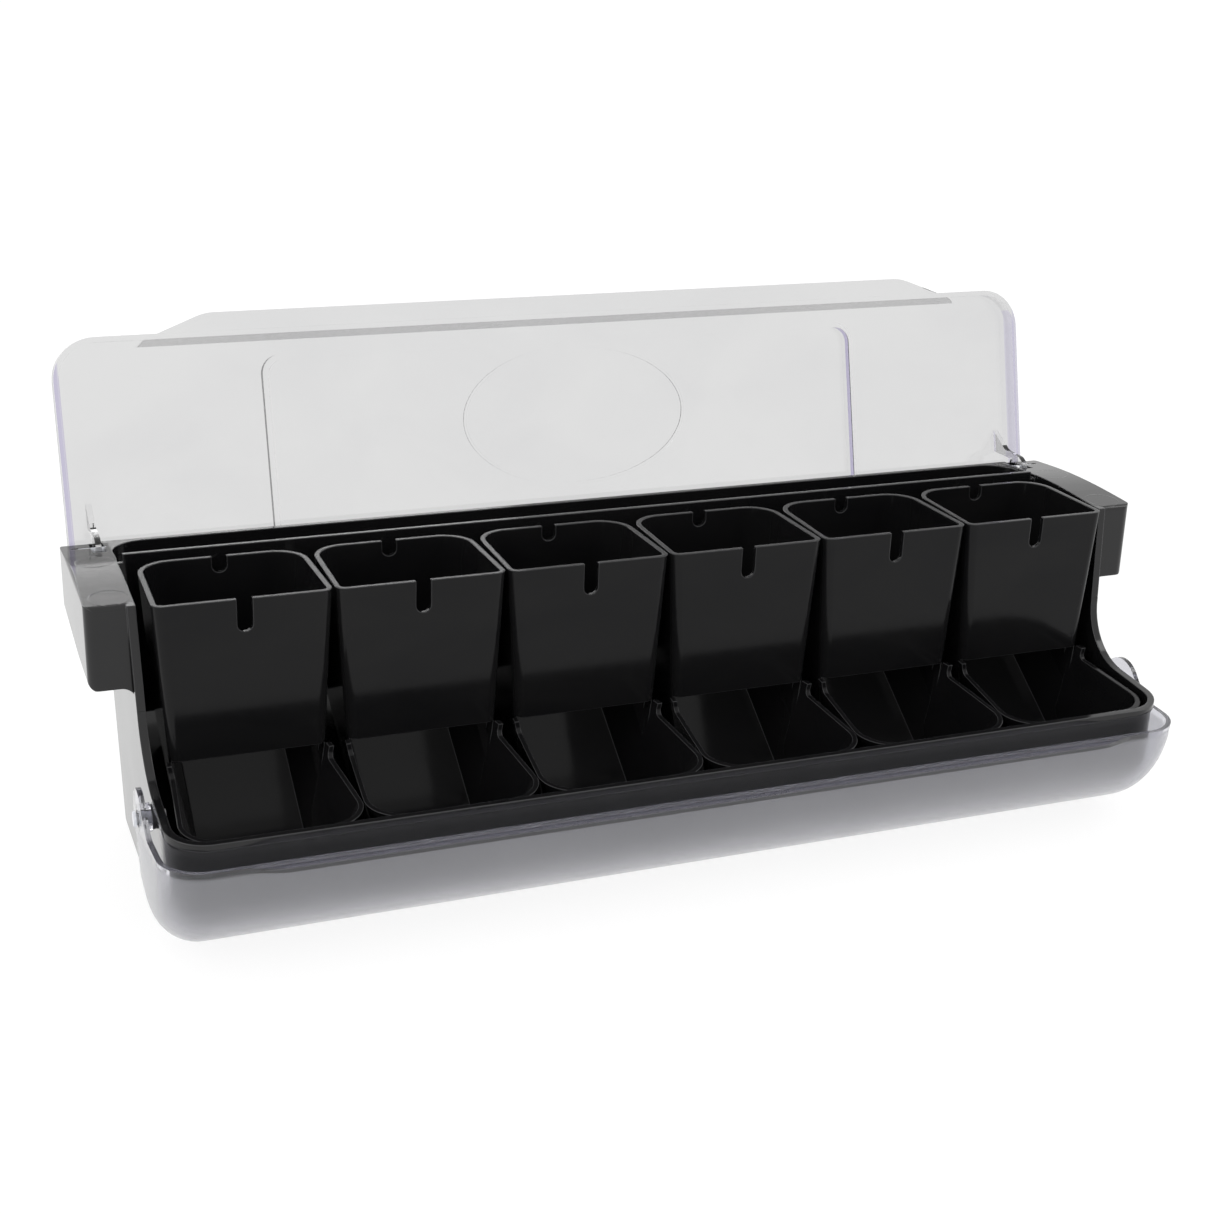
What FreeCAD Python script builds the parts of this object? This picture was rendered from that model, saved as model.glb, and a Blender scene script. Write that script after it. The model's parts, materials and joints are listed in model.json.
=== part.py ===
"""Countertop dispenser for small flat packets, as a parametric FreeCAD document.

A black moulded housing holds six lift-out gravity-feed bins. A clear lid hinges in two hollow
ears behind the bins, and a clear drum-shaped front cover turns about two pins beside the
pick-up troughs. Rest position: lid open against its stop, cover swung open under the troughs.

Millimetres. +Z is up, +X runs along the row of bins and the troughs face -Y. Every sub-part is
drawn about the mid-plane of the hoppers, and its Placement moves it by row_shift, so that the
origin is at the middle of the whole dispenser, on the surface that it stands on.
"""
import FreeCAD, Part
import math
import os
import re

import Sketcher
from FreeCAD import Placement, Rotation, Vector

DIMENSIONS = {
    # the row of bins
    "row_shift": -2.1,
    "bin_pitch": 75.5,
    "bin_wall": 2.2,
    "bin_top": 140.0,
    "hopper_front": -29.4,
    "hopper_back": 28.3,
    "hopper_front_half": 37.2,
    "hopper_back_half": 36.05,
    "hopper_front_round": 4.5,
    "hopper_back_round": 15.0,
    "hopper_mouth": 70.5,
    "side_taper": 0.0576,
    "face_taper": 0.026,
    "notch_half": 3.3,
    "front_notch_depth": 14.3,
    "back_notch_depth": 7.1,
    # chute and trough of a bin
    "chute_slope": 0.686,
    "chute_offset": 44.34,
    "chute_half": 22.7,
    "chute_side_lean": 0.32,
    "floor_level": 20.8,
    "floor_bend": 30.0,
    "trough_rear": -26.5,
    "trough_rear_half": 34.6,
    "trough_front_half": 42.4,
    "trough_front": -89.6,
    "trough_front_round": 17.5,
    "trough_floor_front": -64.0,
    "trough_floor_round": 9.0,
    "rim_rear_level": 65.4,
    "rim_front_level": 60.2,
    "shoulder": -31.0,
    # housing
    "wall": 2.8,
    "foot_height": 1.2,
    "end_half_low": 230.6,
    "end_half_high": 233.65,
    "front_face": -87.4,
    "front_wall": 2.0,
    "front_round": 17.3,
    "base_front": -27.9,
    "rear_low": 67.0,
    "rear_high": 70.2,
    "housing_top": 138.0,
    "rear_top": 137.0,
    "rim_front": 61.2,
    "rim_bend": 67.2,
    "rim_sweep": 28.3,
    "end_front": -23.0,
    "end_front_top": -19.0,
    "lip_out": 0.8,
    "lip_band": 3.0,
    "front_knee": 33.2,
    "ramp_level": 18.0,
    "ramp_start": -34.5,
    "partition_front": 37.2,
    "partition_wall": 2.0,
    "partition_top": 141.2,
    "partition_half": 228.0,
    "recess_floor": 114.0,
    "recess_round": 15.0,
    "rib_spread": 15.0,
    "rib_thick": 2.0,
    "rib_front": -68.0,
    "rib_rear": -38.0,
    "post_half_span": 219.5,
    "post_front": -18.0,
    "post_rear": 56.5,
    "post_radius": 9.0,
    "post_top": 12.0,
    "foot_radius": 7.5,
    # ears
    "ear_half": 251.2,
    "ear_front": -17.0,
    "ear_rear": 70.0,
    "ear_under_front": 101.6,
    "ear_under_rear": 111.6,
    "ear_edge_front": 137.8,
    "ear_crown": 140.4,
    "ear_edge_rear": 136.8,
    "ear_round": 3.0,
    "ear_low_round": 4.0,
    "ear_brow": 6.0,
    "ear_brow_wall": 232.5,
    "ear_crown_round": 280.0,
    "slot_inner": 232.8,
    "slot_width": 6.0,
    "slot_front": 51.4,
    "slot_rear": 67.6,
    # lid
    "hinge_y": 60.5,
    "hinge_z": 135.8,
    "hinge_pin_radius": 1.8,
    "lid_lean": 76.0,
    "lid_half": 246.3,
    "lid_plane": -22.65,
    "lid_sheet": 2.4,
    "lid_foot": -12.0,
    "lid_length": 93.4,
    "lid_round": 19.0,
    "lid_skirt": 9.0,
    "panel_half": 152.5,
    "panel_length": 81.4,
    "panel_raise": 4.0,
    "panel_round": 9.0,
    "oval_half_width": 57.5,
    "oval_half_height": 34.0,
    "oval_middle": 44.0,
    "oval_line": 1.3,
    "oval_raise": 0.5,
    "lip_full_half": 178.0,
    "lip_end_half": 206.0,
    "lid_lip": 8.3,
    "lip_thick": 2.0,
    "arm_inner": 234.5,
    "arm_thick": 2.6,
    "knuckle_radius": 6.7,
    # front cover
    "pivot_y": -44.5,
    "pivot_z": 55.8,
    "cover_radius": 52.9,
    "cover_sheet": 2.2,
    "cover_corner": 18.9,
    "cover_half_hub": 239.0,
    "cover_half_rim": 236.0,
    "cover_edge": 54.0,
    "cover_rear": -31.2,
    "tab_radius": 12.6,
    "cover_lip": 4.5,
    "cover_pin_radius": 2.5,
    "boss_radius": 6.0,
    "boss_face": 233.4,
    "washer_radius": 5.2,
    "drum_gap_radius": 48.5,
    "drum_corner": 16.0,
    "running_gap": 0.08,
}

doc = FreeCAD.newDocument("packet_dispenser")
dims = doc.addObject("Spreadsheet::Sheet", "dims")
for row, (alias, size) in enumerate(DIMENSIONS.items(), start=1):
    dims.set(f"A{row}", alias)
    dims.set(f"B{row}", str(size))
    dims.setAlias(f"B{row}", alias)
doc.recompute()


# ---- helpers: every size is an expression over the sheet's names --------------------------------


def bound(text):
    """The expression with each sheet name pointed at the sheet."""
    return re.sub(r"[a-z_]+", lambda m: f"dims.{m[0]}" if m[0] in DIMENSIONS else m[0], str(text))


def value(text):
    return float(dims.evalExpression(bound(text)))


def bind(obj, **sizes):
    for prop, text in sizes.items():
        obj.setExpression(prop.replace("__", "."), bound(text))
    return obj


PLANES = {
    "XY": (Rotation(), "z"),
    "XZ": (Rotation(Vector(1, 0, 0), 90), "y"),
    "YZ": (Rotation(Vector(1, 1, 1), 120), "x"),
}


def pin_point(sketch, geo, end, corner):
    """Holds a point of a sketch at a corner's two expressions."""
    for kind, axis, text in (("DistanceX", -2, corner[0]), ("DistanceY", -1, corner[1])):
        amount = value(text)
        if abs(amount) < 1e-9:
            sketch.addConstraint(Sketcher.Constraint("PointOnObject", geo, end, axis))
            continue
        index = sketch.addConstraint(Sketcher.Constraint(kind, -1, 1, geo, end, amount))
        sketch.setExpression(f"Constraints[{index}]", bound(text))


def outline(name, plane, level, corners):
    """A closed sketch of straight lines. A corner is (across, up) or (across, up, radius)."""
    turn, normal = PLANES[plane]
    sketch = doc.addObject("Sketcher::SketchObject", name)
    sketch.Placement = Placement(Vector(), turn)
    sketch.setExpression(f"Placement.Base.{normal}", bound(level))
    points = [Vector(value(c[0]), value(c[1]), 0) for c in corners]
    rounds = [value(c[2]) if len(c) > 2 else 0 for c in corners]
    count = len(points)
    starts, ends, arcs = [], [], []
    for i, point in enumerate(points):
        to_last = (points[i - 1] - point).normalize()
        to_next = (points[(i + 1) % count] - point).normalize()
        half = to_last.getAngle(to_next) / 2
        run = rounds[i] / math.tan(half)
        ends.append(point + to_last * run)
        starts.append(point + to_next * run)
        if not rounds[i]:
            arcs.append(None)
            continue
        centre = point + (to_last + to_next).normalize() * (rounds[i] / math.sin(half))
        left = to_last.cross(to_next).z < 0
        first, last = (ends[i], starts[i]) if left else (starts[i], ends[i])
        angles = [math.atan2((p - centre).y, (p - centre).x) for p in (first, last)]
        circle = Part.Circle(centre, Vector(0, 0, 1), rounds[i])
        arcs.append((Part.ArcOfCircle(circle, *angles), left))
    for i in range(count):
        sketch.addGeometry(Part.LineSegment(starts[i], ends[(i + 1) % count]), False)
    for i, corner in enumerate(corners):
        before = (i - 1) % count
        if arcs[i] is None:
            sketch.addConstraint(Sketcher.Constraint("Coincident", before, 2, i, 1))
            pin_point(sketch, i, 1, corner)
            continue
        arc, left = arcs[i]
        geo = sketch.addGeometry(arc, False)
        into, out = (1, 2) if left else (2, 1)
        sketch.addConstraint(Sketcher.Constraint("Tangent", before, 2, geo, into))
        sketch.addConstraint(Sketcher.Constraint("Tangent", geo, out, i, 1))
        index = sketch.addConstraint(Sketcher.Constraint("Radius", geo, rounds[i]))
        sketch.setExpression(f"Constraints[{index}]", bound(corner[2]))
        tip = sketch.addGeometry(Part.Point(points[i]), True)
        sketch.addConstraint(Sketcher.Constraint("PointOnObject", tip, 1, before))
        sketch.addConstraint(Sketcher.Constraint("PointOnObject", tip, 1, i))
        pin_point(sketch, tip, 1, corner)
    return sketch


def both_sides(corners):
    """A symmetric outline: the corners on the +X side in order, then their mirror images."""
    return corners + [(f"-({c[0]})", *c[1:]) for c in reversed(corners)]


def extrude(name, base, length, symmetric=False):
    solid = doc.addObject("Part::Extrusion", name)
    solid.Base = base
    solid.DirMode = "Normal"
    solid.Solid = True
    solid.Symmetric = symmetric
    return bind(solid, LengthFwd=length)


def prism(name, plane, level, length, corners, symmetric=False):
    return extrude(name, outline(f"{name}_outline", plane, level, corners), length, symmetric)


def across(name, corners, length="4 * ear_half"):
    """A side-view outline carried the whole width of the dispenser."""
    return prism(name, "YZ", 0, length, corners, symmetric=True)


def loft(name, *sections):
    solid = doc.addObject("Part::Loft", name)
    solid.Sections = list(sections)
    solid.Solid = True
    solid.Ruled = True
    return solid


def rod(name, radius, low, high, y="0", z="0"):
    """A cylinder along X from low to high."""
    solid = doc.addObject("Part::Cylinder", name)
    solid.Placement = Placement(Vector(), Rotation(Vector(0, 1, 0), 90))
    return bind(solid, Radius=radius, Height=f"({high}) - ({low})", Placement__Base__x=low,
                Placement__Base__y=y, Placement__Base__z=z)


def post(name, radius, low, high, x="0", y="0"):
    """A cylinder along Z from low to high."""
    solid = doc.addObject("Part::Cylinder", name)
    return bind(solid, Radius=radius, Height=f"({high}) - ({low})", Placement__Base__x=x,
                Placement__Base__y=y, Placement__Base__z=low)


def block(name, x, y, z):
    """A box between three pairs of expressions."""
    solid = doc.addObject("Part::Box", name)
    for prop, axis, (low, high) in (("Length", "x", x), ("Width", "y", y), ("Height", "z", z)):
        solid.setExpression(prop, bound(f"({high}) - ({low})"))
        solid.setExpression(f"Placement.Base.{axis}", bound(low))
    return solid


def fuse(name, *shapes):
    solid = doc.addObject("Part::MultiFuse", name)
    solid.Shapes = list(shapes)
    solid.Refine = True
    return solid


def common(name, *shapes):
    solid = doc.addObject("Part::MultiCommon", name)
    solid.Shapes = list(shapes)
    solid.Refine = True
    return solid


def cut(name, base, *tools):
    solid = doc.addObject("Part::Cut", name)
    solid.Base = base
    solid.Tool = tools[0] if len(tools) == 1 else fuse(f"{name}_tools", *tools)
    solid.Refine = True
    return solid


def mirrored(name, source):
    """The same shape on the other side of the X = 0 plane."""
    solid = doc.addObject("Part::Mirroring", name)
    solid.Source = source
    solid.Normal = Vector(1, 0, 0)
    return solid


sub_parts = []


def sub_part(obj, label, x="0", y="0", z="0", turn=Rotation()):
    """Names a finished piece and puts it in its place in the dispenser."""
    obj.Label = label
    obj.Placement = Placement(Vector(), turn)
    bind(obj, Placement__Base__x=x, Placement__Base__y=f"row_shift + {y}", Placement__Base__z=z)
    sub_parts.append(obj)
    return obj


# ---- bins ----------------------------------------------------------------------------------------


def hopper(name, inset, top):
    """The tapered tube that holds the stack of packets, grown inwards by inset."""

    def section(end, level):
        drop = f"(bin_top - ({level}))"
        return outline(f"{name}_{end}", "XY", level, both_sides([
            (f"hopper_front_half - side_taper * {drop} - {inset}",
             f"hopper_front + face_taper * {drop} + {inset}", f"hopper_front_round - {inset} * 0.9"),
            (f"hopper_back_half - side_taper * {drop} - {inset}",
             f"hopper_back - face_taper * {drop} - {inset}", f"hopper_back_round - {inset}"),
        ]))

    return loft(name, section("top", top), section("low", "floor_level - bin_wall"))


def trough(name, inset, rear):
    """The flared pick-up bowl in front of the hopper, grown inwards by inset."""
    flare = "(trough_front_half - trough_rear_half) / (trough_rear - trough_front)"
    top = outline(f"{name}_top", "XY", "hopper_mouth", both_sides([
        (f"trough_front_half - {inset}", f"trough_front + {inset}", f"trough_front_round - {inset}"),
        (f"trough_rear_half - {inset} - {flare} * ({rear} - trough_rear)", rear),
    ]))
    low = outline(f"{name}_low", "XY", f"floor_level - bin_wall + {inset}", both_sides([
        (f"chute_half + bin_wall - {inset}", f"trough_floor_front - bin_wall + {inset}",
         "trough_floor_round"),
        (f"chute_half + bin_wall - {inset}", rear),
    ]))
    return loft(name, top, low)


def bin_space(name, inset, top, trough_rear):
    """Hopper and trough together, over the sloping chute floor, grown inwards by inset."""
    drop = f"(bin_wall - {inset})"
    floor = f"floor_level - {drop}"
    bend = "((floor_level - chute_offset) / chute_slope)"
    rim_fall = "(rim_rear_level - rim_front_level) / (trough_front + 5 - shoulder)"
    rim = [
        ("shoulder", "160"),
        ("shoulder", "rim_rear_level", 3.0),
        ("-110", f"rim_rear_level + {rim_fall} * (shoulder + 110)"),
    ]
    open_top = [("-110", "160")]
    side = across(f"{name}_side", [
        ("-110", floor),
        (bend, floor, f"floor_bend + {drop}"),
        ("40", f"chute_offset + chute_slope * 40 - {drop}"),
        ("40", "160"),
        *(rim if inset == "0" else open_top),
    ])
    foot, reach = 30, 150  # how far the channel's section runs below and above the chute floor
    half = f"chute_half + {drop}"
    channel = doc.addObject("Part::Extrusion", f"{name}_channel")
    channel.Base = outline(f"{name}_channel_outline", "XZ", "40", both_sides([
        (f"{half} - chute_side_lean * {foot}", f"chute_offset + chute_slope * 40 - {drop} - {foot}"),
        (f"{half} + chute_side_lean * {reach}", f"chute_offset + chute_slope * 40 - {drop} + {reach}"),
    ]))
    channel.DirMode = "Custom"
    channel.Dir = Vector(0, -1, -value("chute_slope"))
    channel.Solid = True
    bind(channel, LengthFwd="160 * sqrt(1 + chute_slope ^ 2)")
    both = fuse(f"{name}_both", hopper(f"{name}_hopper", inset, top),
                trough(f"{name}_trough", inset, trough_rear))
    return common(name, both, side, channel)


def make_bin(number):
    name = f"bin_{number}"
    outer = bin_space(f"{name}_outer", "0", "bin_top", "trough_rear")
    inner = bin_space(f"{name}_inner", "bin_wall", "bin_top + 1", "trough_rear + 6")
    notches = []
    for side, y, depth in (("front", "hopper_front", "front_notch_depth"),
                           ("back", "hopper_back", "back_notch_depth")):
        low = f"bin_top - {depth}"
        notches.append(prism(f"{name}_{side}_notch", "XZ", f"{y} + 6", "12", both_sides([
            ("notch_half", low, "notch_half * 0.98"),
            ("notch_half", "bin_top + 5"),
        ])))
    shell = cut(f"{name}_shell", outer, inner, *notches)
    x = f"bin_pitch * ({number} - 3.5)"
    return sub_part(shell, name, x=x)


# ---- housing -------------------------------------------------------------------------------------


def envelope(name, inset, low="0", high="150", front_inset=None):
    """The housing's drafted outline seen from above, grown inwards by inset."""
    draft = "(end_half_high - end_half_low) / housing_top"

    def section(end, level):
        return outline(f"{name}_{end}", "XY", level, both_sides([
            (f"end_half_low + {draft} * ({level}) - {inset}", "90"),
            (f"end_half_low + {draft} * ({level}) - {inset}",
             f"front_face + {front_inset or inset}", f"front_round - {inset}"),
        ]))

    return loft(name, section("low", low), section("high", high))


def rim_profile(inset):
    """The end wall's edge in side view: level lip, quarter sweep, steep rise to the ear."""
    return [
        ("front_face - 10", f"rim_front - 0.4 - {inset}"),
        (f"end_front + {inset}", f"rim_bend - {inset}", f"rim_sweep + {inset}"),
        (f"end_front + {inset}", "ear_under_front - 10"),
        (f"end_front_top + {inset}", "housing_top"),
    ]


def round_ended_drum(name, hub_half, rim_half, radius, corner):
    """A drum about the X axis whose ends round into its wall; its ends dish from hub to rim."""
    section = outline(f"{name}_section", "XY", "0", both_sides([
        (hub_half, "0"),
        (rim_half, radius, corner),
    ]))
    solid = doc.addObject("Part::Revolution", name)
    solid.Source = section
    solid.Axis = Vector(1, 0, 0)
    solid.Angle = 360
    solid.Solid = True
    return solid


def front_drum(name, inset):
    """The drum that the housing's front is part of, about the cover's axis."""
    solid = round_ended_drum(name, f"end_half_low + 1 - {inset}", f"end_half_low + 1 - {inset}",
                             f"drum_gap_radius - {inset}", f"drum_corner - {inset}")
    return bind(solid, Placement__Base__y="pivot_y", Placement__Base__z="pivot_z")


def housing_shell():
    """The outer block: drafted envelope, side profile and rounded under-front."""
    profile = across("shell_side", rim_profile("0") + [
        ("rear_high", "rear_top"),
        ("rear_low", "foot_height"),
        ("front_face - 10", "foot_height"),
    ])
    keep = across("shell_keep", [
        ("front_face - 10", "front_knee"),
        ("base_front", "front_knee"),
        ("base_front", "0"),
        ("90", "0"),
        ("90", "150"),
        ("front_face - 10", "150"),
    ])
    under = fuse("shell_under", keep, front_drum("shell_drum", "0"))
    return common("shell", envelope("shell_envelope", "0"), profile, under)


def rim_bead():
    """The rolled bead along the lip and up the edges of the end walls."""
    band = across("bead_band", rim_profile("0") + list(reversed(rim_profile("lip_band"))))
    return common("bead", envelope("bead_envelope", "-lip_out"), band)


def ear():
    """One hollow ear, on the +X side, with its crowned top."""
    side = prism("ear_side", "YZ", "end_half_low", "ear_half - end_half_low", [
        ("ear_front", "ear_under_front"),
        ("ear_rear", "ear_under_rear", "ear_round"),
        ("ear_rear", "ear_edge_rear", "ear_round * 0.8"),
        ("(ear_front + ear_rear) / 2", "ear_crown", "ear_crown_round"),
        ("ear_front", "ear_edge_front", "ear_round * 0.8"),
    ])
    plan = prism("ear_plan", "XY", "ear_under_front - 5", "60", [
        ("end_half_low", "ear_front"),
        ("ear_half", "ear_front", "ear_round * 1.5"),
        ("ear_half", "ear_rear", "ear_round * 1.5"),
        ("end_half_low", "ear_rear"),
    ])
    front = prism("ear_face", "XZ", "ear_rear + 1", "ear_rear - ear_front + 2", [
        ("end_half_low", "ear_under_front - 0.2"),
        ("ear_half", "ear_under_front - 0.2", "ear_low_round"),
        ("ear_half", "ear_crown + 0.1", "ear_round"),
        ("end_half_low", "ear_crown + 0.1"),
    ])
    return common("ear", side, plan, front)


def ear_brow():
    """The concave fillet where an ear's front wall runs down into the end wall."""
    low = "ear_under_front - ear_brow - 1"
    return prism("ear_brow_web", "XZ", "ear_front + wall", "wall", [
        ("end_half_low + 1", "ear_under_front + 3"),
        ("end_half_low + 1", low),
        ("ear_brow_wall", low),
        ("ear_brow_wall", "ear_under_front", "ear_brow"),
        ("ear_brow_wall + ear_brow + 1", "ear_under_front"),
        ("ear_brow_wall + ear_brow + 1", "ear_under_front + 3"),
    ])


def ear_hollow():
    """The space inside an ear, open below, with the slot that the lid's arm works in."""
    pocket = prism("ear_pocket", "YZ", "slot_inner", "ear_half - wall - slot_inner", [
        ("ear_front + wall", "ear_under_front - 15"),
        ("slot_rear", "ear_under_front - 15"),
        ("slot_rear", "ear_edge_rear - wall"),
        ("(ear_front + ear_rear) / 2", "ear_crown - wall"),
        ("ear_front + wall", "ear_edge_front - wall"),
    ])
    slot = block("ear_slot", ("slot_inner", "slot_inner + slot_width"), ("slot_front", "slot_rear"),
                 ("ear_crown - 10", "ear_crown + 5"))
    return fuse("ear_hollow", pocket, slot)


def pin_rib():
    """The rib inside an ear that carries the outer end of the hinge pin."""
    return block("pin_rib", ("slot_inner + slot_width + 0.8", "slot_inner + slot_width + 3.8"),
                 ("hinge_y - 7", "slot_rear + 0.5"), ("hinge_z - 6", "ear_edge_rear - wall / 2"))


def bin_cavity():
    """The open space that the bins stand in, down to the ramp and the drum-shaped front."""
    ramp = "ramp_level + chute_slope * (({0}) - ramp_start)"
    low = "(2 - ramp_level) / chute_slope + ramp_start"
    side = across("cavity_side", [
        ("front_face", "2"),
        (low, "2"),
        ("partition_front", ramp.format("partition_front")),
        ("partition_front", "160"),
        ("front_face", "160"),
    ])
    above = across("cavity_above", [
        ("front_face", "front_knee + 1"),
        ("pivot_y - 2", "10.2"),
        ("90", "10.2"),
        ("90", "170"),
        ("front_face", "170"),
    ])
    reach = fuse("cavity_reach", above, front_drum("cavity_drum", "wall"))
    return common("cavity", envelope("cavity_envelope", "wall", "0", "165", "front_wall"), side, reach)


def rear_recess():
    """The shelf-like recess between the partition and the rear wall."""
    return prism("recess", "XY", "recess_floor", "60", both_sides([
        ("end_half_high - wall - 0.4", "partition_front + partition_wall", "1"),
        ("end_half_high - wall - 0.4", "rear_high - wall", "recess_round"),
    ]))


def underside():
    """The hollow under the ramp and the recess, open below."""
    thick = "wall * 1.15"
    ramp = "ramp_level + chute_slope * (({0}) - ramp_start) - " + thick
    side = across("under_side", [
        ("base_front + wall", "-5"),
        ("base_front + wall", ramp.format("base_front + wall")),
        ("partition_front + partition_wall", ramp.format("partition_front + partition_wall")),
        ("partition_front + partition_wall", "recess_floor - wall"),
        ("rear_high - wall - 0.6", "recess_floor - wall"),
        ("rear_low - wall", "-5"),
    ])
    return common("under", envelope("under_envelope", "wall", "-10", "130"), side)


def bin_ribs():
    """Pairs of low ribs that the bins stand on."""
    ribs = []
    for number in range(1, 7):
        for hand in (-1, 1):
            middle = f"bin_pitch * ({number} - 3.5) + {hand} * rib_spread"
            ribs.append(block(f"rib_{number}_{'left' if hand < 0 else 'right'}",
                              (f"{middle} - rib_thick / 2", f"{middle} + rib_thick / 2"),
                              ("rib_front", "rib_rear"), ("5", "ramp_level")))
    return common("ribs", fuse("rib_blanks", *ribs), front_drum("rib_drum", "1"))


FEET = [("front_left", -1, "post_front"), ("front_right", 1, "post_front"),
        ("rear_left", -1, "post_rear"), ("rear_right", 1, "post_rear")]


def make_housing():
    hollow = ear_hollow()
    ears = fuse("ear_with_brow", ear(), ear_brow())
    rib = pin_rib()
    posts = [post(f"post_{name}", "post_radius", "foot_height", "post_top",
                  f"{hand} * post_half_span", y) for name, hand, y in FEET]
    partition = block("partition_edge", ("-partition_half", "partition_half"),
                      ("partition_front", "partition_front + partition_wall"),
                      ("housing_top - 10", "partition_top"))
    solid = fuse("housing_blank", housing_shell(), rim_bead(), ears, mirrored("ear_left", ears))
    opened = cut("housing_opened", solid, bin_cavity(), rear_recess(), underside(), hollow,
                 mirrored("ear_hollow_left", hollow))
    ribbed = fuse("housing_ribbed", opened, partition, bin_ribs(), *posts, rib,
                  mirrored("pin_rib_left", rib))
    pin = rod("pin_bore", "hinge_pin_radius + 0.05", "slot_inner - 1.1", "slot_inner + 14",
              "hinge_y", "hinge_z")
    pivot = rod("pivot_bore", "cover_pin_radius + 0.05", "end_half_low - 10", "ear_half", "pivot_y",
                "pivot_z")
    bored = cut("housing_bored", ribbed, pin, mirrored("pin_bore_left", pin), pivot,
                mirrored("pivot_bore_left", pivot))
    return sub_part(bored, "housing")


# ---- lid -----------------------------------------------------------------------------------------


def lid_plate(name, inset, low, high):
    """A slab in the lid's plane, with the lid's outline grown inwards by inset."""
    return prism(name, "XY", low, f"({high}) - ({low})", both_sides([
        (f"lid_half - {inset}", "lid_foot" if inset == "0" else "lid_foot - 1"),
        (f"lid_half - {inset}", f"lid_length - {inset}", f"lid_round - {inset}"),
    ]))


def panel_block(name, inset, low, high):
    return prism(name, "XY", low, f"({high}) - ({low})", both_sides([
        (f"panel_half - {inset}", "lid_foot" if inset == "0" else "lid_foot - 1"),
        (f"panel_half - {inset}", f"panel_length - {inset}", f"panel_round - {inset} / 2"),
    ]))


def finger_lip(name, level, edge, reach):
    """A flange with S-shaped ends, drawn in plan from edge outwards by reach."""
    return prism(name, "XY", level, "lip_thick", both_sides([
        ("lip_end_half + 3", f"{edge} - ({reach}) * 0.3"),
        ("lip_end_half", edge, "14"),
        ("lip_full_half", f"{edge} + {reach}", "22"),
    ]))


def hinge_arm():
    """One arm of the lid, on the +X side, with the eye for its pin at the origin."""
    web = prism("arm_web", "YZ", "arm_inner", "arm_thick", [
        ("knuckle_radius * 0.97", "knuckle_radius * 0.24"),
        ("9.5", "-9.5", "6"),
        ("21", "lid_plane + lid_sheet / 2"),
        ("9", "lid_plane + lid_sheet / 2"),
        ("5.2", "-5.2", "4"),
        ("0", "0"),
    ])
    eye = rod("arm_eye", "knuckle_radius", "arm_inner", "arm_inner + arm_thick")
    bore = rod("arm_bore", "hinge_pin_radius + running_gap", "arm_inner - 1",
               "arm_inner + arm_thick + 1")
    return cut("arm", fuse("arm_blank", web, eye), bore)


def oval_slab(name, inset):
    """An upright oval slab on the panel's inner face, grown inwards by inset."""
    ellipse = doc.addObject("Part::Ellipse", f"{name}_outline")
    floor = "lid_plane - panel_raise + lid_sheet"
    bind(ellipse, MajorRadius=f"oval_half_width - {inset}", MinorRadius=f"oval_half_height - {inset}",
         Placement__Base__y="oval_middle", Placement__Base__z=f"{floor} - 0.3")
    return extrude(name, ellipse, "oval_raise + 0.3")


def make_lid():
    """Drawn with the hinge axis at the origin and +Y up the lid, then leaned back."""
    skirt = cut("lid_skirt_ring",
                lid_plate("lid_block", "0", "lid_plane", "lid_plane + lid_skirt"),
                lid_plate("lid_inside", "lid_sheet", "lid_plane + lid_sheet", "lid_plane + 30"))
    panel = panel_block("panel_outer", "0", "lid_plane - panel_raise", "lid_plane + 1")
    hollow = panel_block("panel_inner", "lid_sheet", "lid_plane - panel_raise + lid_sheet",
                         "lid_plane + 5")
    lip = finger_lip("lid_lip_flange", "lid_plane + lid_skirt - lip_thick",
                     "lid_length - lid_sheet", "lid_lip + lid_sheet")
    arm = hinge_arm()
    sheet = cut("lid_sheet_raised", fuse("lid_blank", skirt, panel), hollow)
    oval = cut("lid_oval", oval_slab("oval_outer", "0"), oval_slab("oval_inner", "oval_line"))
    whole = fuse("lid_whole", sheet, lip, oval, arm, mirrored("arm_left", arm))
    lean = Rotation(Vector(1, 0, 0), value("lid_lean"))
    return sub_part(whole, "lid", y="hinge_y", z="hinge_z", turn=lean)


# ---- front cover ---------------------------------------------------------------------------------


def cover_form(name, inset):
    """The drum that the cover is part of, grown inwards by inset."""
    return round_ended_drum(name, f"cover_half_hub - {inset}", f"cover_half_rim - {inset}",
                            f"cover_radius - {inset}", f"cover_corner - {inset}")


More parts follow.
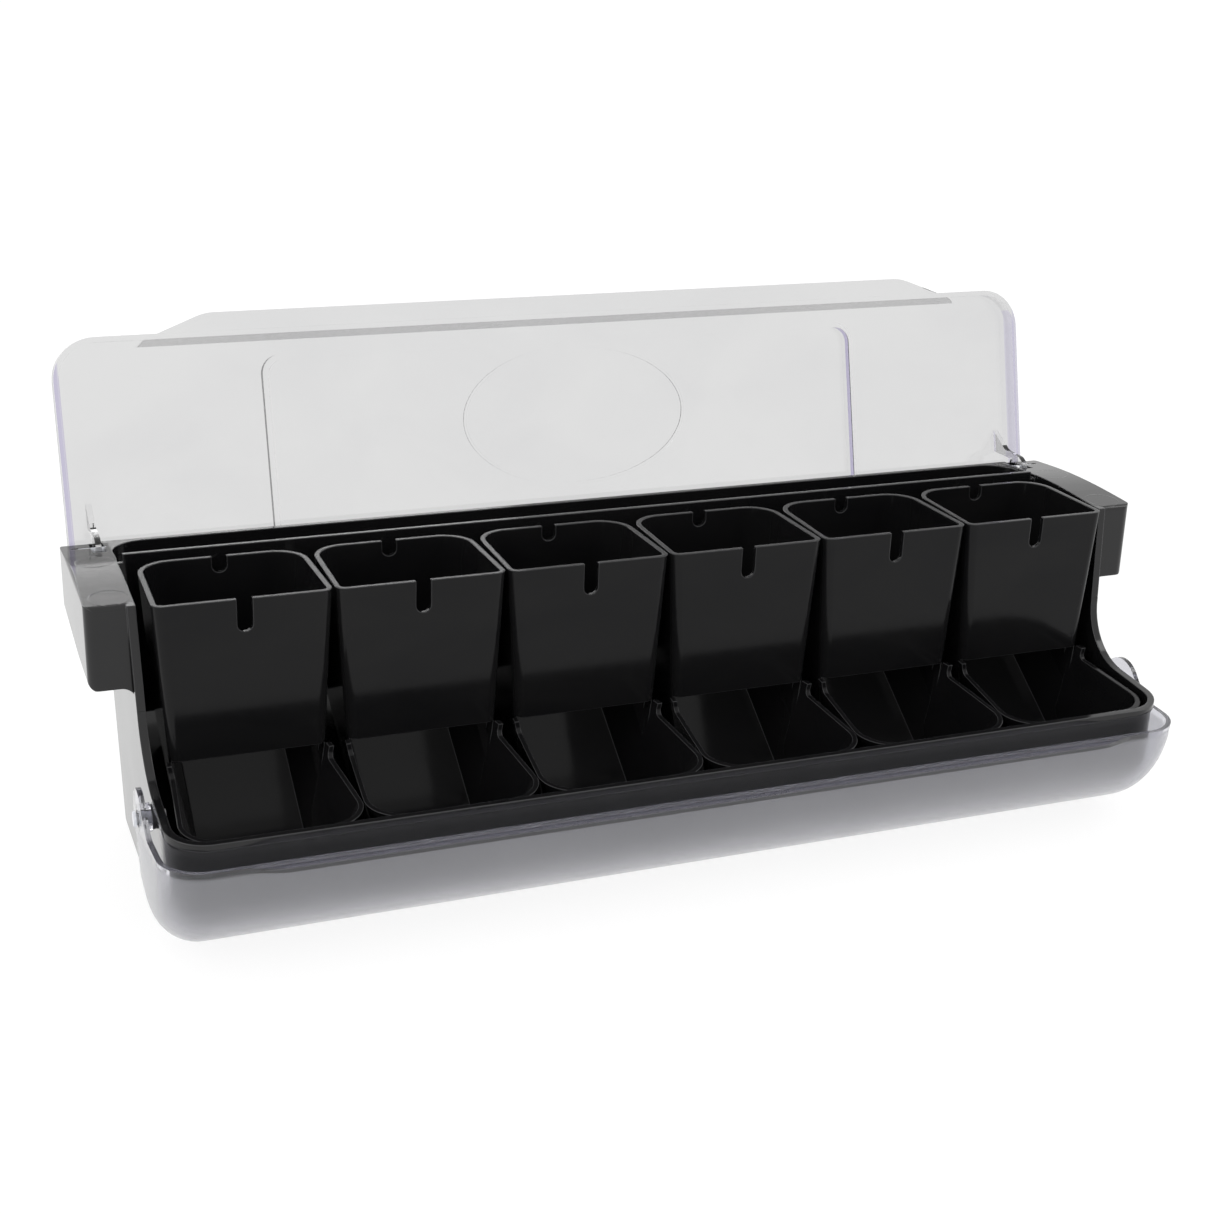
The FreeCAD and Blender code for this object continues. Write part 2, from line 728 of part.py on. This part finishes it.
def make_front_cover():
    """Drawn about its own axis in the open position, then set on its pins."""
    shell = cut("cover_shell", cover_form("cover_outer", "0"), cover_form("cover_inner", "cover_sheet"))
    edge = "cover_edge - pivot_z"
    sector = across("cover_sector", [
        ("-cover_radius - 10", edge),
        ("-tab_radius - 6", f"{edge} + 0.6", "8"),
        ("-tab_radius * 0.8", "tab_radius * 0.6"),
        ("0", "tab_radius * 0.6"),
        ("cover_rear - pivot_y", "0"),
        ("cover_rear - pivot_y", "-cover_radius - 10"),
        ("-cover_radius - 10", "-cover_radius - 10"),
    ])
    tab = rod("cover_tab", "tab_radius", "-ear_half", "ear_half")
    body = common("cover_body", shell, fuse("cover_region", sector, tab))
    flange = prism("cover_lip_flange", "XY", f"{edge} - lip_thick", "lip_thick", both_sides([
        ("lip_end_half + 3", "cover_sheet * 0.7 - cover_radius"),
        ("lip_end_half", "cover_sheet * 0.2 - cover_radius", "10"),
        ("lip_full_half + 12", "-cover_radius - cover_lip", "12"),
    ]))
    boss = rod("cover_boss", "boss_radius", "boss_face", "cover_half_hub - cover_sheet / 2")
    bore = rod("cover_bore", "cover_pin_radius + running_gap", "boss_face - 5", "ear_half")
    whole = fuse("cover_whole", body, flange, boss, mirrored("cover_boss_left", boss))
    bored = cut("cover_bored", whole, bore, mirrored("cover_bore_left", bore))
    return sub_part(bored, "front_cover", y="pivot_y", z="pivot_z")


# ---- pins, washers and feet ----------------------------------------------------------------------


def revolved_body(name, profile):
    """A PartDesign body turned about X from a closed profile of (along, radius) corners."""
    body = doc.addObject("PartDesign::Body", name)
    plane = next(p for p in body.Origin.OriginFeatures if p.Role == "XY_Plane")
    axis = next(p for p in body.Origin.OriginFeatures if p.Role == "X_Axis")
    sketch = body.newObject("Sketcher::SketchObject", f"{name}_profile")
    sketch.AttachmentSupport = [(plane, "")]
    sketch.MapMode = "FlatFace"
    count = len(profile)
    points = [Vector(value(c[0]), value(c[1]), 0) for c in profile]
    for i in range(count):
        sketch.addGeometry(Part.LineSegment(points[i], points[(i + 1) % count]), False)
    for i, corner in enumerate(profile):
        sketch.addConstraint(Sketcher.Constraint("Coincident", (i - 1) % count, 2, i, 1))
        pin_point(sketch, i, 1, corner)
    turn = body.newObject("PartDesign::Revolution", f"{name}_turned")
    turn.Profile = sketch
    turn.ReferenceAxis = (axis, [""])
    turn.Angle = 360
    return body


def make_pins():
    for side, hand in (("left", -1), ("right", 1)):
        hinge = revolved_body(f"lid_pin_{side}", [
            (f"{hand} * (slot_inner - 1)", "0"),
            (f"{hand} * (slot_inner - 1)", "hinge_pin_radius"),
            (f"{hand} * (slot_inner + 11)", "hinge_pin_radius"),
            (f"{hand} * (slot_inner + 11.6)", "hinge_pin_radius * 0.7"),
            (f"{hand} * (slot_inner + 11.6)", "0"),
        ])
        sub_part(hinge, f"lid_pin_{side}", y="hinge_y", z="hinge_z")
        pivot = revolved_body(f"cover_pin_{side}", [
            (f"{hand} * (end_half_low - wall - 0.6)", "0"),
            (f"{hand} * (end_half_low - wall - 0.6)", "cover_pin_radius"),
            (f"{hand} * (cover_half_hub + 0.3)", "cover_pin_radius"),
            (f"{hand} * (cover_half_hub + 0.3)", "cover_pin_radius * 1.5"),
            (f"{hand} * (cover_half_hub + 1.3)", "cover_pin_radius * 1.2"),
            (f"{hand} * (cover_half_hub + 1.3)", "0"),
        ])
        sub_part(pivot, f"cover_pin_{side}", y="pivot_y", z="pivot_z")
        draft = "(end_half_high - end_half_low) / housing_top"
        wall_face = f"end_half_low + {draft} * (pivot_z + washer_radius)"
        washer = revolved_body(f"cover_washer_{side}", [
            (f"{hand} * ({wall_face})", "cover_pin_radius + 0.1"),
            (f"{hand} * ({wall_face})", "washer_radius"),
            (f"{hand} * (boss_face - 0.3)", "washer_radius"),
            (f"{hand} * (boss_face - 0.3)", "cover_pin_radius + 0.1"),
        ])
        sub_part(washer, f"cover_washer_{side}", y="pivot_y", z="pivot_z")


def make_feet():
    for name, hand, y in FEET:
        pad = post(f"foot_{name}", "foot_radius", "0", "foot_height")
        sub_part(pad, f"foot_{name}", x=f"{hand} * post_half_span", y=y)


# ---- build, check and write ----------------------------------------------------------------------

make_housing()
for number in range(1, 7):
    make_bin(number)
make_lid()
make_front_cover()
make_pins()
make_feet()
doc.recompute()

for obj in doc.Objects:
    if "Invalid" in obj.State or "Error" in obj.State:
        raise RuntimeError(f"{obj.Name} failed: {obj.State}")
for obj in sub_parts:
    if obj.Shape.isNull() or not obj.Shape.isValid() or len(obj.Shape.Solids) != 1:
        raise RuntimeError(f"{obj.Label} isn't one valid solid")

os.makedirs("parts", exist_ok=True)
for obj in sub_parts:
    obj.Shape.exportStep(f"parts/{obj.Label}.step")
    print(f"{obj.Label}: {obj.Shape.Volume / 1000:.1f} cm3")
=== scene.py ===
import json
import math

import bpy
from mathutils import Matrix, Vector


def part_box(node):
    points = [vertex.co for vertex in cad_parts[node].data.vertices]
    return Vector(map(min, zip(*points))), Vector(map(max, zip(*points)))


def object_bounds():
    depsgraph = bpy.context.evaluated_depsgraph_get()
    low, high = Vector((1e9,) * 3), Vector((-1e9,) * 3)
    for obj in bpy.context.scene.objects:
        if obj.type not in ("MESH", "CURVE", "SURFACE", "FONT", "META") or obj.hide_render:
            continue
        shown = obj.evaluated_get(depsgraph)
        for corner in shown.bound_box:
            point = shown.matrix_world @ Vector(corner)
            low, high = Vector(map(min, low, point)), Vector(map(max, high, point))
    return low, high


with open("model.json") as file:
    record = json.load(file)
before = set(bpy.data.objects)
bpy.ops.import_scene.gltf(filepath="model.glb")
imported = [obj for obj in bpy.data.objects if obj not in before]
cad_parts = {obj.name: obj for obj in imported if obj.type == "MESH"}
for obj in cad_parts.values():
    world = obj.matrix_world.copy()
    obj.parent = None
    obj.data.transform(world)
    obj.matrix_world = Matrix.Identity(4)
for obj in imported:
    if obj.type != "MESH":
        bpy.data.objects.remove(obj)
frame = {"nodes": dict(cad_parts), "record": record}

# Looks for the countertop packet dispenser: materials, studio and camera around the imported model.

cad_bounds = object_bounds()
scene = bpy.context.scene
MM = 0.001
PLASTIC_IOR = 1.49


# ---- material helpers ----------------------------------------------------------------------------


class Tree:
    """A material's node tree, with short calls for the nodes used here."""

    def __init__(self, name):
        self.material = bpy.data.materials.new(name)
        self.material.use_nodes = True
        self.tree = self.material.node_tree
        self.tree.nodes.clear()
        self.output = self.node("OutputMaterial")
        self.position = self.node("TexCoord").outputs["Object"]

    def node(self, kind, **settings):
        made = self.tree.nodes.new(f"ShaderNode{kind}")
        for key, setting in settings.items():
            setattr(made, key, setting)
        return made

    def link(self, source, target):
        self.tree.links.new(source, target)

    def principled(self, **sockets):
        shader = self.node("BsdfPrincipled")
        for name, amount in sockets.items():
            shader.inputs[name.replace("_", " ")].default_value = amount
        self.link(shader.outputs[0], self.output.inputs["Surface"])
        return shader

    def stretched(self, stretch):
        """Object coordinates, scaled per axis."""
        mapping = self.node("Mapping")
        mapping.inputs["Scale"].default_value = stretch
        self.link(self.position, mapping.inputs["Vector"])
        return mapping.outputs[0]

    def noise(self, scale, detail=3.0, stretch=(1, 1, 1), distortion=0.0):
        texture = self.node("TexNoise")
        texture.inputs["Scale"].default_value = scale
        texture.inputs["Detail"].default_value = detail
        texture.inputs["Distortion"].default_value = distortion
        self.link(self.stretched(stretch), texture.inputs["Vector"])
        return texture.outputs["Fac"]

    def remap(self, source, from_low, from_high, to_low, to_high):
        change = self.node("MapRange")
        for socket, amount in zip(change.inputs[1:5], (from_low, from_high, to_low, to_high)):
            socket.default_value = amount
        self.link(source, change.inputs[0])
        return change.outputs[0]

    def math(self, operation, first, second):
        node = self.node("Math", operation=operation)
        for socket, item in zip(node.inputs, (first, second)):
            if isinstance(item, (int, float)):
                socket.default_value = item
            else:
                self.link(item, socket)
        return node.outputs[0]

    def bump(self, height, distance, strength=1.0, normal=None):
        node = self.node("Bump")
        node.inputs["Distance"].default_value = distance
        node.inputs["Strength"].default_value = strength
        self.link(height, node.inputs["Height"])
        if normal is not None:
            self.link(normal, node.inputs["Normal"])
        return node.outputs[0]

    def blend(self, factor, first, second):
        """A colour that goes from first, a colour or a socket, to the colour second with factor."""
        mix = self.node("Mix", data_type="RGBA")
        if isinstance(first, tuple):
            mix.inputs["A"].default_value = (*first, 1)
        else:
            self.link(first, mix.inputs["A"])
        mix.inputs["B"].default_value = (*second, 1)
        self.link(factor, mix.inputs["Factor"])
        return mix.outputs["Result"]

    def scratches(self, scale, turn, width):
        """Thin straight marks along one direction, from 0 to 1."""
        mapping = self.node("Mapping")
        mapping.inputs["Rotation"].default_value = turn
        mapping.inputs["Scale"].default_value = (1, 14, 1)
        self.link(self.position, mapping.inputs["Vector"])
        texture = self.node("TexNoise")
        texture.inputs["Scale"].default_value = scale
        texture.inputs["Detail"].default_value = 2
        self.link(mapping.outputs[0], texture.inputs["Vector"])
        return self.remap(texture.outputs["Fac"], 0.5 - width, 0.5, 0, 1)

    def rounded_edges(self, radius):
        """How far a point is onto a convex edge, from 0 to 1, and the normal of the rounded edge."""
        bevel = self.node("Bevel", samples=6)
        bevel.inputs["Radius"].default_value = radius
        geometry = self.node("NewGeometry")
        dot = self.node("VectorMath", operation="DOT_PRODUCT")
        self.link(bevel.outputs[0], dot.inputs[0])
        self.link(geometry.outputs["Normal"], dot.inputs[1])
        return self.remap(dot.outputs["Value"], 0.995, 0.8, 0, 1), bevel.outputs[0]

    def facing(self, direction, from_dot, to_dot):
        """0 to 1 as the object's own surface turns between two angles to a direction."""
        normal = self.node("TexCoord").outputs["Normal"]
        dot = self.node("VectorMath", operation="DOT_PRODUCT")
        dot.inputs[1].default_value = direction
        self.link(normal, dot.inputs[0])
        return self.remap(self.math("ABSOLUTE", dot.outputs["Value"], 0), from_dot, to_dot, 0, 1)

    def place(self):
        """The point's X, Y and Z in the object's own frame."""
        split = self.node("SeparateXYZ")
        self.link(self.position, split.inputs[0])
        return split.outputs

    def ring(self, x, y, radius, width):
        """A thin circle about each of the points (x, y) and (-x, y), from 0 to 1."""
        at = self.place()
        across = self.math("SUBTRACT", self.math("ABSOLUTE", at["X"], 0), x)
        along = self.math("SUBTRACT", at["Y"], y)
        squares = self.math("ADD", self.math("POWER", across, 2), self.math("POWER", along, 2))
        off = self.math("ABSOLUTE", self.math("SUBTRACT", self.math("SQRT", squares, 0), radius), 0)
        return self.remap(off, 0, width, 1, 0)


def black_plastic(name, specular, roughness, waves, marks=()):
    """Glossy moulded black: flow waves, fine grain, smears, handling scratches, rounded edges lightened
    by wear and by a painted rim highlight.
    """
    t = Tree(name)
    shader = t.principled(IOR=PLASTIC_IOR, Specular_IOR_Level=specular)
    wear_and_rim_highlight, rounded = t.rounded_edges(0.8 * MM)
    smear = t.remap(t.noise(11, 5, (1, 1, 2.2), 0.8), 0.35, 0.7, 0, 1)
    fine = t.noise(1400, 2)
    tone = t.blend(t.math("MULTIPLY", smear, 0.6), (0.0055, 0.0055, 0.006), (0.010, 0.0098, 0.0098))
    # Convex edges get a lighter base colour: partly edge wear, partly a painted rim highlight.
    worn_and_highlit = t.blend(t.math("MULTIPLY", wear_and_rim_highlight, 0.7), tone, (0.075, 0.075, 0.078))
    t.link(worn_and_highlit, shader.inputs["Base Color"])
    rough = t.remap(smear, 0, 1, roughness, roughness + 0.05)
    rough = t.math("ADD", rough, t.math("MULTIPLY", fine, 0.02))
    rubbed = t.scratches(210, (0.4, 0.1, 0.6), 0.012)
    t.link(t.math("ADD", rough, t.math("MULTIPLY", rubbed, 0.02)), shader.inputs["Roughness"])
    normal = t.bump(t.noise(34, 2, (1, 1, 0.16)), waves, 1.0, rounded)
    for x, y, radius in marks:
        top = t.remap(t.place()["Z"], EAR_TOP, EAR_TOP + MM, 0, 1)
        normal = t.bump(t.math("MULTIPLY", t.ring(x, y, radius, 0.35 * MM), top), 0.06 * MM, 1.0, normal)
    t.link(t.bump(fine, 0.002 * MM, 1.0, normal), shader.inputs["Normal"])
    return t.material


def lid_sheet():
    """Clear sheet, faintly grey, with dark violet shade painted on its edges, where light runs along
    inside it.
    """
    t = Tree("lid_clear_sheet")
    shader = t.principled(IOR=PLASTIC_IOR, Transmission_Weight=1.0)
    smear = t.remap(t.noise(14, 5, (1, 1, 1.4), 1.0), 0.4, 0.72, 0, 1)
    sheet = t.blend(smear, (0.67, 0.67, 0.67), (0.645, 0.645, 0.648))
    out = t.math("ABSOLUTE", t.place()["X"], 0)
    border, arms = lid_side - LID_BORDER, lid_side - LID_ARM_INSET
    border_shade = t.remap(out, border, border + 0.4 * MM, 0, 0.8)
    skirt_shade = t.math("MULTIPLY", t.facing(LID_FACE, 0.85, 0.35), t.remap(out, arms, arms + MM, 1, 0))
    lip_foot = lid_top - LID_LIP_DEPTH
    below_lip = t.remap(t.place()["Z"], lip_foot - 2 * MM, lip_foot, 1, 0.2)
    # Painted dark violet shade on the skirt faces and side borders, where the sheet is seen through its
    # thickness.
    edge = t.math("MAXIMUM", t.math("MULTIPLY", skirt_shade, below_lip), border_shade)
    t.link(t.blend(edge, sheet, (0.46, 0.43, 0.58)), shader.inputs["Base Color"])
    t.link(t.remap(smear, 0, 1, 0.015, 0.04), shader.inputs["Roughness"])
    t.link(t.bump(t.noise(22, 2), 0.04 * MM), shader.inputs["Normal"])
    return t.material


def cover_sheet():
    """Clear sheet whose curved wall is frosted by handling; its rim, lip and tabs stay clear."""
    t = Tree("cover_clear_sheet")
    shader = t.principled(IOR=PLASTIC_IOR)
    frost_top = cover_rim - COVER_CLEAR_BAND
    frosted = t.remap(t.place()["Z"], frost_top - COVER_FROST_FADE, frost_top, 1, 0)
    cloud = t.noise(9, 1, (1, 1, 1.6))
    haze = t.math("MULTIPLY", frosted, t.remap(cloud, 0, 1, 0.13, 0.19))
    t.link(t.math("SUBTRACT", 1.0, haze), shader.inputs["Transmission Weight"])
    # Painted violet edge shade on the clear, upward-facing rim and lip faces.
    rim = t.math("MULTIPLY", t.facing((0, 0, 1), 0.8, 0.98), t.math("SUBTRACT", 1.0, frosted))
    t.link(t.blend(rim, (0.72, 0.72, 0.76), (0.70, 0.69, 0.79)), shader.inputs["Base Color"])
    # Above a roughness of about 0.27 thin contour lines show on this wall, so it stays below that.
    frost = t.math("MULTIPLY", frosted, t.remap(cloud, 0, 1, 0.13, 0.20))
    t.link(t.math("ADD", frost, 0.04), shader.inputs["Roughness"])
    t.link(t.bump(t.noise(14, 0), 0.012 * MM), shader.inputs["Normal"])
    return t.material


def small_plastic(name, colour, roughness):
    """Plain moulded trim with a fine speckle."""
    t = Tree(name)
    shader = t.principled(IOR=PLASTIC_IOR)
    speck = t.noise(800, 3)
    t.link(t.blend(speck, colour, tuple(min(1, c * 1.8) for c in colour)), shader.inputs["Base Color"])
    t.link(t.remap(t.noise(350, 3), 0.3, 0.7, roughness, roughness + 0.15), shader.inputs["Roughness"])
    t.link(t.bump(speck, 0.02 * MM), shader.inputs["Normal"])
    return t.material


# The open lid leans back from the bins, and this is the way its sheet faces.
LID_LEAN = math.radians(76)
LID_FACE = (0, -math.sin(LID_LEAN), math.cos(LID_LEAN))
LID_BORDER = 2.5 * MM
LID_ARM_INSET = 14 * MM
LID_LIP_DEPTH = 12 * MM
lid_side, _, lid_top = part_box("lid")[1]
COVER_RIM_DROP = 1.8 * MM
COVER_CLEAR_BAND = 2 * MM
COVER_FROST_FADE = 1.4 * MM
cover_pivot = sum(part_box("cover_pin_left"), Vector()) / 2
cover_rim = cover_pivot.z - COVER_RIM_DROP
EAR_TOP = 135.5 * MM
# Ejector marks on each ear's top: distance from the middle, depth from the origin, radius.
EAR_MARKS = ((0.240, 0.034, 0.008), (0.240, -0.010, 0.008))
MATERIALS = {
    "housing_plastic": black_plastic("housing_black", 0.42, 0.06, 0.07 * MM, EAR_MARKS),
    "bin_plastic": black_plastic("bin_black", 0.16, 0.07, 0.10 * MM),
    "lid_clear": lid_sheet(),
    "cover_clear": cover_sheet(),
    "pin_plastic": small_plastic("pin_natural", (0.42, 0.43, 0.46), 0.12),
    "washer_plastic": small_plastic("washer_dark", (0.04, 0.04, 0.045), 0.4),
    "foot_rubber": small_plastic("foot_rubber_pad", (0.03, 0.03, 0.03), 0.75),
}

for entry in frame["record"]["subparts"]:
    node = frame["nodes"][entry["node"]]
    for slot in node.material_slots:
        slot.material = MATERIALS[entry["material_slot"]]


# ---- studio --------------------------------------------------------------------------------------


FLOOR_SIZE = 14
FLOOR_GAP = 0.2 * MM


def make_floor():
    bpy.ops.mesh.primitive_plane_add(size=FLOOR_SIZE, location=(0, 3, cad_bounds[0].z - FLOOR_GAP))
    floor = bpy.context.object
    floor.name = "studio_floor"
    t = Tree("studio_white")
    shader = t.principled(Specular_IOR_Level=0.0, Roughness=0.8, Emission_Strength=0.88)
    shader.inputs["Emission Color"].default_value = (1, 1, 1, 1)
    t.link(t.blend(t.noise(3, 3), (0.15, 0.15, 0.15), (0.17, 0.17, 0.17)), shader.inputs["Base Color"])
    floor.data.materials.append(t.material)


def add_softbox(name, place, target, size, power):
    light = bpy.data.lights.new(name, "AREA")
    light.shape = "RECTANGLE"
    light.size, light.size_y = size
    light.energy = power
    lamp = bpy.data.objects.new(name, light)
    scene.collection.objects.link(lamp)
    lamp.location = place
    lamp.rotation_mode = "QUATERNION"
    lamp.rotation_quaternion = (Vector(target) - Vector(place)).to_track_quat("-Z", "Y")


def make_studio():
    make_floor()
    world = bpy.data.worlds.new("studio_world")
    world.use_nodes = True
    background = world.node_tree.nodes["Background"]
    background.inputs["Strength"].default_value = 1.05
    background.inputs["Color"].default_value = (1, 1, 1, 1)
    scene.world = world
    middle = (0, 0, 0.1)
    add_softbox("back_box", (-0.3, 1.7, 0.85), middle, (1.8, 0.5), 6)
    add_softbox("left_box", (-1.4, -0.5, 0.9), middle, (0.7, 0.9), 4)
    add_softbox("right_box", (1.3, -0.4, 1.0), middle, (0.5, 0.9), 4)
    scene.view_settings.view_transform = "Standard"
    scene.view_settings.look = "None"


# The eye stands left of the dispenser's middle, in front of it and above it.
EYE = Vector((-0.3237, -0.7643, 0.4118))
FORWARD = Vector((0.34867, 0.87043, -0.34755))
RIGHT = Vector((0.93164, -0.36236, 0.02713))
LENS, SENSOR = 56.91, 36


def make_camera():
    data = bpy.data.cameras.new("photo_camera")
    data.lens, data.sensor_width = LENS, SENSOR
    camera = bpy.data.objects.new("photo_camera", data)
    scene.collection.objects.link(camera)
    up = RIGHT.cross(FORWARD).normalized()
    camera.matrix_world = Matrix.Translation(EYE) @ Matrix((RIGHT, up, -FORWARD)).transposed().to_4x4()
    scene.camera = camera


make_studio()
make_camera()
